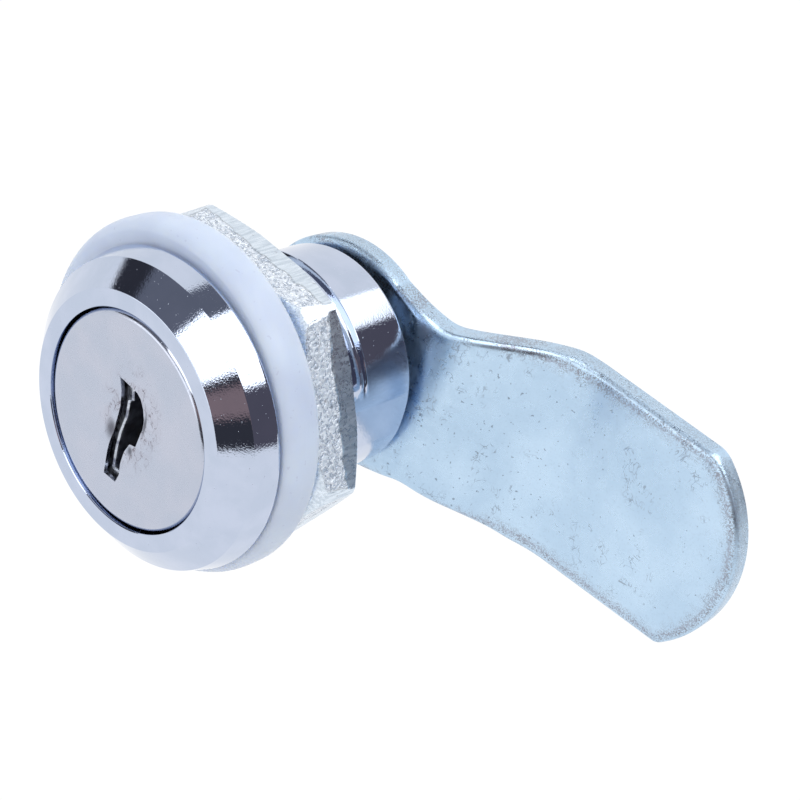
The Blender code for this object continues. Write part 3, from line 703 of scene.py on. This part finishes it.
class Finish:
    """Short calls for building one procedural material, with places measured in millimetres."""

    def __init__(self, name, colour, roughness, metallic=1.0):
        self.material = bpy.data.materials.new(name)
        self.material.use_nodes = True
        self.tree = self.material.node_tree
        self.shader = self.tree.nodes["Principled BSDF"]
        self.shader.inputs["Base Color"].default_value = (*colour, 1.0)
        self.shader.inputs["Roughness"].default_value = roughness
        self.shader.inputs["Metallic"].default_value = metallic
        coordinates = self.node("ShaderNodeTexCoord")
        scale = self.node("ShaderNodeVectorMath", operation="SCALE")
        scale.inputs["Scale"].default_value = 1 / MM
        self.tree.links.new(coordinates.outputs["Object"], scale.inputs[0])
        self.place = scale.outputs[0]

    def node(self, kind, **settings):
        made = self.tree.nodes.new(kind)
        for name, value in settings.items():
            setattr(made, name, value)
        return made

    def feed(self, socket, value):
        if isinstance(value, bpy.types.NodeSocket):
            self.tree.links.new(value, socket)
        elif isinstance(value, tuple) and len(value) == 3 and socket.type == "RGBA":
            socket.default_value = (*value, 1.0)
        else:
            socket.default_value = value

    def stretched(self, stretch, shift=(0, 0, 0)):
        mapping = self.node("ShaderNodeMapping")
        mapping.inputs["Scale"].default_value = stretch
        mapping.inputs["Location"].default_value = shift
        self.tree.links.new(self.place, mapping.inputs["Vector"])
        return mapping.outputs[0]

    def noise(self, scale, detail=3.0, stretch=(1, 1, 1), shift=(0, 0, 0), distortion=0.0):
        """Cloudy noise from 0 to 1 with about this many features a millimetre."""
        texture = self.node("ShaderNodeTexNoise")
        texture.inputs["Scale"].default_value = scale
        texture.inputs["Detail"].default_value = detail
        texture.inputs["Distortion"].default_value = distortion
        self.tree.links.new(self.stretched(stretch, shift), texture.inputs["Vector"])
        return texture.outputs[0]

    def calc(self, operation, a, b=0.0):
        made = self.node("ShaderNodeMath", operation=operation)
        self.feed(made.inputs[0], a)
        self.feed(made.inputs[1], b)
        return made.outputs[0]

    def times(self, first, *others):
        for other in others:
            first = self.calc("MULTIPLY", first, other)
        return first

    def minus(self, a, b):
        return self.calc("SUBTRACT", a, b)

    def larger(self, a, b):
        return self.calc("MAXIMUM", a, b)

    def fade(self, value, low, high, to_low=0.0, to_high=1.0):
        """A smooth step of a value from to_low at low to to_high at high."""
        made = self.node("ShaderNodeMapRange", interpolation_type="SMOOTHSTEP")
        self.feed(made.inputs["Value"], value)
        made.inputs["From Min"].default_value = low
        made.inputs["From Max"].default_value = high
        made.inputs["To Min"].default_value = to_low
        made.inputs["To Max"].default_value = to_high
        return made.outputs[0]

    def mix(self, share, a, b):
        made = self.node("ShaderNodeMix", data_type="RGBA")
        self.feed(made.inputs["Factor"], share)
        self.feed(made.inputs["A"], a)
        self.feed(made.inputs["B"], b)
        return made.outputs["Result"]

    def parts(self):
        """The place's separate x, y and z."""
        made = self.node("ShaderNodeSeparateXYZ")
        self.tree.links.new(self.place, made.inputs[0])
        return made.outputs[0], made.outputs[1], made.outputs[2]

    def distance_from(self, x, z, stretch_z=1.0):
        """How far a place is from a line along Y through (x, z)."""
        across, _, up = self.parts()
        side = self.minus(across, x)
        rise = self.times(self.minus(up, z), stretch_z)
        square_sum = self.calc("ADD", self.times(side, side), self.times(rise, rise))
        return self.calc("SQRT", square_sum)

    def threads(self, scale, width, stretch=(1, 1, 1), shift=(0, 0, 0)):
        """Thin wandering lines, 1 on a line and 0 off it: the contours of a noise."""
        value = self.noise(scale, 2.0, stretch, shift, 0.4)
        off = self.calc("ABSOLUTE", self.minus(value, 0.5))
        return self.fade(off, 0.0, width, 1.0, 0.0)

    def bump(self, height, depth, under=None):
        """Relief of a depth in millimetres where height goes from 0 to 1."""
        made = self.node("ShaderNodeBump")
        made.inputs["Strength"].default_value = 1.0
        made.inputs["Distance"].default_value = depth * MM
        self.feed(made.inputs["Height"], height)
        if under is not None:
            self.tree.links.new(under, made.inputs["Normal"])
        return made.outputs[0]

    def complete(self, colour=None, roughness=None, normal=None):
        """Give the shader what varies over the surface, and return the material."""
        for name, value in (("Base Color", colour), ("Roughness", roughness), ("Normal", normal)):
            if value is not None:
                self.feed(self.shader.inputs[name], value)
        return self.material


def bright_chrome():
    """The head and barrel: bright plate with faint turning lines and specks of dust."""
    finish = Finish("bright_chrome_plate", (0.535, 0.60, 0.74), 0.05)
    cloud = finish.noise(0.35, 3.0)
    colour = finish.mix(finish.fade(cloud, 0.35, 0.7), (0.515, 0.58, 0.715), (0.56, 0.62, 0.76))
    wipe = finish.noise(1.6, 4.0, (1, 3, 1))
    dust = finish.fade(finish.noise(4.6, 1.0, shift=(5, 0, 0)), 0.765, 0.79)
    roughness = finish.fade(wipe, 0.4, 0.75, 0.03, 0.07)
    roughness = finish.calc("ADD", roughness, finish.times(dust, 0.3))
    peel = finish.bump(finish.noise(0.7, 1.0, shift=(0, 9, 0)), 0.003)
    turned = finish.bump(finish.noise(1.0, 3.0, (0.3, 8.0, 0.3), (2, 0, 7)), 0.0035, peel)
    grain = finish.bump(finish.noise(6.5, 3.0), 0.0062, turned)
    marks = finish.bump(dust, 0.012, grain)
    return finish.complete(colour, roughness, marks)


def satin_stainless():
    """The cap: satin sheet, scuffed round the keyway, with painted shade darkening its dents."""
    finish = Finish("satin_stainless_sheet", (0.62, 0.62, 0.68), 0.3)
    cloud = finish.noise(0.25, 3.0)
    colour = finish.mix(finish.fade(cloud, 0.35, 0.7), (0.49, 0.535, 0.64), (0.53, 0.56, 0.66))
    near_key = finish.fade(finish.distance_from(0.6, 0.6, 0.75), 2.4, 4.2, 1.0, 0.0)
    patches = finish.fade(finish.noise(0.9, 3.0, shift=(4, 0, 2)), 0.44, 0.57)
    fibres = finish.threads(1.3, 0.03, (1.4, 1, 0.7))
    scuffs = finish.times(fibres, patches, near_key)
    haze = finish.times(patches, near_key, 0.22)
    colour = finish.mix(haze, colour, (0.38, 0.36, 0.42))
    colour = finish.mix(finish.times(scuffs, 0.95), colour, (0.17, 0.15, 0.18))
    # Painted shade: each dent is darkened as if shade lay in its hollow.
    for x, z, wide, tall, _ in DENTS:
        dent_shade = finish.fade(finish.distance_from(x, z, wide / tall), wide * 0.2, wide * 1.3, 0.8, 0.0)
        colour = finish.mix(dent_shade, colour, (0.07, 0.07, 0.09))
    specks = finish.fade(finish.noise(2.6, 1.0, shift=(9, 2, 0)), 0.73, 0.76)
    fine = finish.threads(0.35, 0.003, (1.2, 1, 0.7), (3, 0, 1))
    rolled = finish.fade(finish.distance_from(0.0, 0.0), RECESS_RADIUS - 1.2, RECESS_RADIUS - 0.8)
    roughness = finish.fade(finish.noise(1.2, 4.0), 0.3, 0.75, 0.22, 0.34)
    roughness = finish.minus(roughness, finish.times(rolled, 0.12))
    grain = finish.bump(finish.noise(9.0, 2.0), 0.0008)
    flaws = finish.larger(finish.larger(scuffs, specks), finish.times(fine, 0.4))
    return finish.complete(colour, roughness, finish.bump(flaws, -0.008, grain))


def white_nylon():
    """The sealing washer: cloudy pale plastic that lets a little light in."""
    finish = Finish("moulded_nylon", (0.72, 0.77, 0.90), 0.38, 0.0)
    finish.shader.inputs["Subsurface Weight"].default_value = 0.6
    finish.shader.inputs["Subsurface Radius"].default_value = (1.6, 1.8, 2.2)
    finish.shader.inputs["Subsurface Scale"].default_value = 1.5 * MM
    cloud = finish.noise(0.22, 2.0)
    colour = finish.mix(finish.fade(cloud, 0.3, 0.75), (0.545, 0.62, 0.775), (0.595, 0.68, 0.83))
    specks = finish.fade(finish.noise(2.2, 1.0, shift=(2, 2, 2)), 0.72, 0.75)
    colour = finish.mix(finish.times(specks, 0.5), colour, (0.45, 0.50, 0.66))
    roughness = finish.fade(finish.noise(1.5, 3.0), 0.3, 0.7, 0.32, 0.46)
    soft = finish.bump(finish.noise(0.5, 2.0, shift=(0, 4, 0)), 0.02)
    skin = finish.bump(finish.noise(4.0, 3.0), 0.002, soft)
    return finish.complete(colour, roughness, skin)


def zinc_plated_steel():
    """The nut: faint drawn lines, and bright crystals where it tore when it was punched."""
    finish = Finish("zinc_plated_steel", (0.66, 0.70, 0.76), 0.34)
    _, along, _ = finish.parts()
    edge = finish.times(finish.minus(finish.noise(0.9, 3.0), 0.5), 0.9)
    border = NUT_LOW.y + (NUT_HIGH.y - NUT_LOW.y) * NUT_FRACTURE
    torn = finish.fade(finish.calc("ADD", along, edge), border - 0.1, border + 0.1, 1.0, 0.0)
    widening = NUT_WEAR / (NUT_HIGH.y - NUT_LOW.y)
    corner = NUT_FLATS / 2 / math.cos(math.radians(30)) - NUT_WEAR
    from_axis = finish.distance_from(*NUT_PLAY)
    reach = finish.minus(from_axis, finish.times(along, widening))
    corner -= widening * NUT_LOW.y
    off_corners = finish.fade(reach, corner - 0.2, corner - 0.03, 1.0, 0.0)
    steepness = 1 / NUT_CHAMFER_SLOPE
    reach = finish.minus(from_axis, finish.times(along, steepness))
    chamfer = NUT_CHAMFER_RADIUS - steepness * NUT_LOW.y
    off_chamfer = finish.fade(reach, chamfer - 0.25, chamfer - 0.08, 1.0, 0.0)
    torn = finish.times(torn, off_corners, off_chamfer)
    crystal = finish.noise(2.6, 6.0, (1, 0.8, 1), distortion=1.1)
    streak = finish.noise(4.5, 3.0, (1, 0.1, 1), shift=(0, 3, 0))
    crags = finish.bump(finish.times(crystal, torn), 0.32)
    smooth_part = finish.minus(1.0, torn)
    lines = finish.bump(finish.times(streak, smooth_part), 0.005, crags)
    grain = finish.bump(finish.noise(12.0, 2.0), 0.002, lines)
    pale = finish.mix(finish.fade(crystal, 0.38, 0.58), (0.53, 0.60, 0.70), (0.86, 0.92, 1.0))
    plain = finish.mix(finish.fade(streak, 0.35, 0.65), (0.58, 0.66, 0.75), (0.76, 0.84, 0.93))
    colour = finish.mix(torn, plain, pale)
    stain = finish.fade(finish.noise(1.1, 3.0, shift=(7, 1, 3)), 0.69, 0.75)
    colour = finish.mix(finish.times(stain, 0.5), colour, (0.28, 0.27, 0.30))
    roughness = finish.fade(crystal, 0.3, 0.7, 0.22, 0.38)
    finish.feed(finish.shader.inputs["Metallic"], finish.fade(torn, 0.0, 1.0, 1.0, 0.75))
    return finish.complete(colour, roughness, grain)


def plain_zinc():
    """The same plate on the turned and punched small parts."""
    finish = Finish("plain_zinc_plate", (0.60, 0.66, 0.73), 0.28)
    cloud = finish.noise(0.5, 3.0)
    colour = finish.mix(finish.fade(cloud, 0.35, 0.7), (0.55, 0.61, 0.69), (0.66, 0.72, 0.79))
    stain = finish.fade(finish.noise(1.6, 4.0, shift=(4, 0, 1)), 0.60, 0.72, 0.0, 0.4)
    colour = finish.mix(stain, colour, (0.36, 0.36, 0.39))
    rings = finish.noise(2.2, 2.0, shift=(0, 5, 0))
    from_axis = finish.calc("SINE", finish.times(finish.distance_from(0.0, 0.0), 32.0))
    turned = finish.bump(finish.times(from_axis, rings), 0.0015)
    grain = finish.bump(finish.noise(7.0, 3.0), 0.0025, turned)
    return finish.complete(colour, finish.fade(cloud, 0.3, 0.7, 0.2, 0.34), grain)


def blue_passivated_zinc():
    """The cam: blue-grey plate, worn and pitted along its edge, with a painted dark reflection inside its
    rolled edge, and fine scratches.
    """
    finish = Finish("blue_passivated_zinc", (0.46, 0.60, 0.74), 0.3)
    across, _, up = finish.parts()
    side = finish.minus(CAM_END_HALF_WIDTH, finish.calc("ABSOLUTE", up))
    beyond = finish.larger(finish.minus(across, CAM_HIGH.x - CAM_END_RADIUS), 0.0)
    sideways = finish.calc("ADD", up, CAM_END_DROP)
    squares = finish.calc("ADD", finish.times(beyond, beyond), finish.times(sideways, sideways))
    end = finish.minus(CAM_END_RADIUS, finish.calc("SQRT", squares))
    inward = finish.calc("MINIMUM", side, end)
    wander = finish.minus(finish.noise(1.3, 5.0), 0.5)
    ragged = finish.calc("ADD", inward, finish.times(wander, 2.6))
    dots = finish.fade(finish.noise(7.5, 2.0, shift=(1, 7, 2)), 0.45, 0.57)
    on_face = finish.fade(inward, 0.05, 0.35)
    worn = finish.times(finish.fade(ragged, 0.2, 1.9, 1.0, 0.0), dots, on_face)
    cloud = finish.noise(0.16, 4.0)
    colour = finish.mix(finish.fade(cloud, 0.3, 0.7), (0.48, 0.64, 0.81), (0.555, 0.72, 0.89))
    mottle = finish.noise(5.5, 3.0)
    tarnish = finish.mix(finish.fade(mottle, 0.4, 0.65), (0.17, 0.15, 0.17), (0.34, 0.36, 0.40))
    colour = finish.mix(finish.times(worn, 0.75), colour, tarnish)
    colour = finish.mix(finish.fade(mottle, 0.5, 0.75, 0.0, 0.2), colour, (0.34, 0.44, 0.55))
    # Painted reflection: a patchy dark band along the inner border of the rolled edge, standing for the
    # dark room that the roll reflects.
    painted_roll_reflection = finish.times(finish.fade(inward, 0.35, 0.7), finish.fade(inward, 0.75, 1.0, 1.0, 0.0))
    patchy = finish.fade(finish.noise(3.0, 4.0, shift=(0, 2, 9)), 0.42, 0.6, 0.0, 0.5)
    colour = finish.mix(finish.times(painted_roll_reflection, patchy), colour, (0.27, 0.26, 0.32))
    sheared = finish.fade(inward, 0.0, 0.12, 1.0, 0.0)
    flecks = finish.fade(finish.noise(8.0, 3.0, shift=(6, 1, 1)), 0.42, 0.60)
    colour = finish.mix(finish.times(sheared, flecks, 0.5), colour, (0.30, 0.34, 0.40))
    specks = finish.fade(finish.noise(3.0, 1.0, shift=(3, 3, 0)), 0.715, 0.74)
    bare = finish.fade(finish.noise(0.22, 2.0, shift=(8, 0, 3)), 0.45, 0.58)
    fibres = finish.threads(0.45, 0.012, (1.0, 1, 1.7), (1, 0, 4))
    hairs = finish.threads(1.0, 0.022, (1.6, 1, 0.8), (5, 0, 2))
    broken = finish.fade(finish.noise(0.8, 2.0, shift=(2, 0, 6)), 0.52, 0.60)
    scratch = finish.times(finish.larger(fibres, hairs), bare, broken)
    colour = finish.mix(finish.times(specks, 0.6), colour, (0.14, 0.16, 0.20))
    colour = finish.mix(finish.times(scratch, 0.7), colour, (0.22, 0.26, 0.32))
    roughness = finish.fade(finish.noise(0.9, 4.0), 0.3, 0.7, 0.24, 0.36)
    peel = finish.bump(finish.noise(1.4, 3.0), 0.006)
    grain = finish.bump(finish.noise(6.0, 3.0), 0.005, peel)
    pitted = finish.bump(finish.times(flecks, sheared), -0.012, grain)
    marks = finish.bump(finish.larger(specks, scratch), -0.008, pitted)
    return finish.complete(colour, roughness, marks)


def die_cast_zinc():
    """The plug: a dull casting, worn bright round the mouth of the keyway, the brightness partly a painted
    highlight on that edge.
    """
    finish = Finish("die_cast_zinc_core", (0.42, 0.43, 0.46), 0.42)
    _, along, _ = finish.parts()
    cloud = finish.noise(1.3, 4.0)
    colour = finish.mix(finish.fade(cloud, 0.3, 0.7), (0.26, 0.28, 0.36), (0.36, 0.39, 0.48))
    # Worn by keys and partly a painted highlight: the front of the keyway's mouth is painted near white.
    worn_and_highlight = finish.fade(along, PLUG_LOW.y + 0.2, PLUG_LOW.y + 0.4, 1.0, 0.0)
    worn_and_highlight = finish.times(worn_and_highlight, finish.fade(cloud, 0.38, 0.55))
    colour = finish.mix(worn_and_highlight, colour, (0.80, 0.85, 0.94))
    cast = finish.bump(finish.noise(3.0, 4.0), 0.02)
    return finish.complete(colour, finish.fade(cloud, 0.3, 0.7, 0.34, 0.5), cast)


def wafer_brass():
    """The wafers: brass with fine stamping lines."""
    finish = Finish("stamped_brass", (0.72, 0.55, 0.27), 0.3)
    cloud = finish.noise(1.2, 3.0)
    colour = finish.mix(finish.fade(cloud, 0.3, 0.7), (0.60, 0.44, 0.20), (0.78, 0.61, 0.31))
    lines = finish.bump(finish.noise(4.0, 2.0, (1, 1, 0.1)), 0.004)
    return finish.complete(colour, finish.fade(cloud, 0.3, 0.7, 0.24, 0.38), lines)


def spring_steel():
    """The wafer springs and the split washer: darker drawn steel."""
    finish = Finish("hard_spring_steel", (0.40, 0.41, 0.44), 0.28)
    cloud = finish.noise(1.0, 3.0)
    colour = finish.mix(finish.fade(cloud, 0.3, 0.7), (0.32, 0.33, 0.36), (0.48, 0.49, 0.52))
    drawn = finish.bump(finish.noise(5.0, 3.0), 0.004)
    return finish.complete(colour, finish.fade(cloud, 0.3, 0.7, 0.2, 0.36), drawn)


# ---------------------------------------------------------------- stage

FLOOR_DROP = 40.0               # how far the floor lies below the lock
FLOOR_SIZE_M = 8.0
FLOOR_GLOW = 0.97
TENT = (1.0, 1.0, 1.0)


def pale_floor():
    """A plain pale floor, lit evenly enough that hardly any shadow shows."""
    bm = bmesh.new()
    height = CAD_BOX[0][2] - FLOOR_DROP * MM
    corners = [(-1, -1), (1, -1), (1, 1), (-1, 1)]
    bm.faces.new([bm.verts.new((x * FLOOR_SIZE_M, y * FLOOR_SIZE_M, height)) for x, y in corners])
    mesh = bpy.data.meshes.new("floor")
    bm.to_mesh(mesh)
    bm.free()
    floor = bpy.data.objects.new("floor", mesh)
    bpy.context.scene.collection.objects.link(floor)
    finish = Finish("pale_floor", (0.5, 0.5, 0.5), 0.9, 0.0)
    finish.shader.inputs["Specular IOR Level"].default_value = 0.0
    finish.shader.inputs["Emission Color"].default_value = (1.0, 1.0, 1.0, 1.0)
    finish.shader.inputs["Emission Strength"].default_value = FLOOR_GLOW
    cloud = finish.noise(0.004, 2.0)
    finish.complete(finish.mix(cloud, (0.05, 0.05, 0.052), (0.06, 0.06, 0.06)))
    mesh.materials.append(finish.material)


def towards(azimuth, elevation):
    """The direction seen from the lock at an azimuth (0 is -Y, 90 is +X) and elevation."""
    turn, rise = math.radians(azimuth), math.radians(elevation)
    return Vector((math.sin(turn) * math.cos(rise), -math.cos(turn) * math.cos(rise), math.sin(rise)))


def glowing_sheet(name, points, faces, radiance, lights=True):
    """Part of the set that only the lock can see: points in metres and one even radiance.

    When lights is False it shows in reflections and changes no other light.
    """
    bm = bmesh.new()
    verts = [bm.verts.new(point) for point in points]
    for face in faces:
        bm.faces.new([verts[i] for i in face])
    mesh = bpy.data.meshes.new(name)
    bm.to_mesh(mesh)
    bm.free()
    card = bpy.data.objects.new(name, mesh)
    bpy.context.scene.collection.objects.link(card)
    finish = Finish(name, (0.0, 0.0, 0.0), 1.0, 0.0)
    finish.shader.inputs["Specular IOR Level"].default_value = 0.0
    finish.shader.inputs["Emission Color"].default_value = (*radiance, 1.0)
    finish.shader.inputs["Emission Strength"].default_value = 1.0
    mesh.materials.append(finish.material)
    card.visible_camera = False
    card.visible_diffuse = lights
    card.visible_shadow = lights


def ceiling_card(name, outline, height, radiance):
    """A level sheet at a height in metres; the outline gives x and y as shares of that height."""
    points = [(x * height, y * height, height) for x, y in outline]
    glowing_sheet(name, points, [range(len(outline))], radiance)


def wall_card(name, azimuths, elevations, radiance, distance, lights=True):
    """A cloth curved round the lock between two azimuths and two elevations."""
    columns = steps_between(azimuths[0], azimuths[1], 4.0)
    rows = steps_between(elevations[0], elevations[1], 4.0)
    points = [towards(azimuth, elevation) * distance for azimuth in columns for elevation in rows]
    tall = len(rows)
    faces = []
    for column in range(len(columns) - 1):
        for row in range(tall - 1):
            first = column * tall + row
            faces.append((first, first + tall, first + tall + 1, first + 1))
    glowing_sheet(name, points, faces, radiance, lights)


# Level sheets' outlines as shares of their heights above the lock
SOFTBOX_OUTLINE = [(-0.5, -2.0), (0.7, -2.0), (1.2, 0.23), (0.6, 1.12), (-0.03, 1.05), (0.03, 0.19)]
DARK_CEILING_OUTLINE = [(0.3, 0.32), (-0.36, 0.32), (-0.7, -0.2), (-4.2, -1.15), (-4.2, -2.6), (0.3, -2.6)]
BLACK_CORNER_OUTLINE = [(-1.6, -0.5), (-4.2, -1.15), (-4.2, -2.6), (-1.6, -2.6)]


def light_the_set():
    world = bpy.data.worlds.new("tent")
    world.use_nodes = True
    world.node_tree.nodes["Background"].inputs["Color"].default_value = (*TENT, 1.0)
    world.node_tree.nodes["Background"].inputs["Strength"].default_value = 1.0
    bpy.context.scene.world = world
    ceiling_card("overhead_softbox", SOFTBOX_OUTLINE, 0.8, (2.4, 2.4, 2.4))
    ceiling_card("dark_ceiling", DARK_CEILING_OUTLINE, 1.0, (0.17, 0.175, 0.21))
    ceiling_card("black_corner", BLACK_CORNER_OUTLINE, 0.9, (0.04, 0.04, 0.05))
    wall_card("cloth_right", (22, 155), (1, 58), (0.11, 0.10, 0.125), 2.6)
    wall_card("cloth_front_right", (19, 58), (-7.5, 27), (0.045, 0.045, 0.055), 0.5)
    wall_card("warm_board", (19, 58), (9.5, 22.5), (0.30, 0.21, 0.21), 0.48)
    wall_card("front_board", (-45, 12), (-8, 13), (1.7, 1.7, 1.7), 1.2, lights=False)


CAMERA_AZIMUTH = 35.1
CAMERA_ELEVATION = 32.0
CAMERA_ROLL = 16.4
CAMERA_DISTANCE = 155.9
CAMERA_TARGET = (2.3, -0.83, 6.5)   # from the middle of the lock's box
LENS = 85.5


def place_camera():
    data = bpy.data.cameras.new("camera")
    data.lens = LENS
    data.sensor_width = 36.0
    data.clip_start = 0.005
    camera = bpy.data.objects.new("camera", data)
    middle = (Vector(CAD_BOX[0]) + Vector(CAD_BOX[1])) / 2
    target = middle + Vector(CAMERA_TARGET) * MM
    back = towards(CAMERA_AZIMUTH, CAMERA_ELEVATION)
    look = (-back).to_track_quat("-Z", "Y").to_matrix()
    roll = Matrix.Rotation(math.radians(CAMERA_ROLL), 3, "Z")
    camera.matrix_world = Matrix.Translation(target + back * CAMERA_DISTANCE * MM) @ (look @ roll).to_4x4()
    bpy.context.scene.collection.objects.link(camera)
    bpy.context.scene.camera = camera


def main():
    finishes = {
        "bright_chrome": bright_chrome(),
        "satin_stainless": satin_stainless(),
        "white_nylon": white_nylon(),
        "zinc_plated_steel": zinc_plated_steel(),
        "blue_passivated_zinc": blue_passivated_zinc(),
        "die_cast_zinc": die_cast_zinc(),
        "wafer_brass": wafer_brass(),
        "spring_steel": spring_steel(),
    }
    small_parts = plain_zinc()
    stand_for(make_housing(), "housing", finishes["bright_chrome"])
    stand_for(make_sealing_washer(), "sealing_washer", finishes["white_nylon"])
    stand_for(make_mounting_nut(), "mounting_nut", finishes["zinc_plated_steel"])
    stand_for(make_plug(), "plug", finishes["die_cast_zinc"])
    stand_for(make_face_cap(), "face_cap", finishes["satin_stainless"])
    stand_for(make_stop_washer(), "stop_washer", small_parts)
    stand_for(make_cam(), "cam", finishes["blue_passivated_zinc"])
    stand_for(make_flat_washer(), "flat_washer", small_parts)
    stand_for(make_spring_washer(), "spring_washer", finishes["spring_steel"])
    stand_for(make_cam_screw(), "cam_screw", small_parts)
    for node, piece in frame["nodes"].items():
        if node.startswith("wafer"):
            piece.material_slots[0].material = finishes[SLOT_OF[node]]
    pale_floor()
    light_the_set()
    place_camera()
    bpy.context.scene.view_settings.view_transform = "Standard"


main()
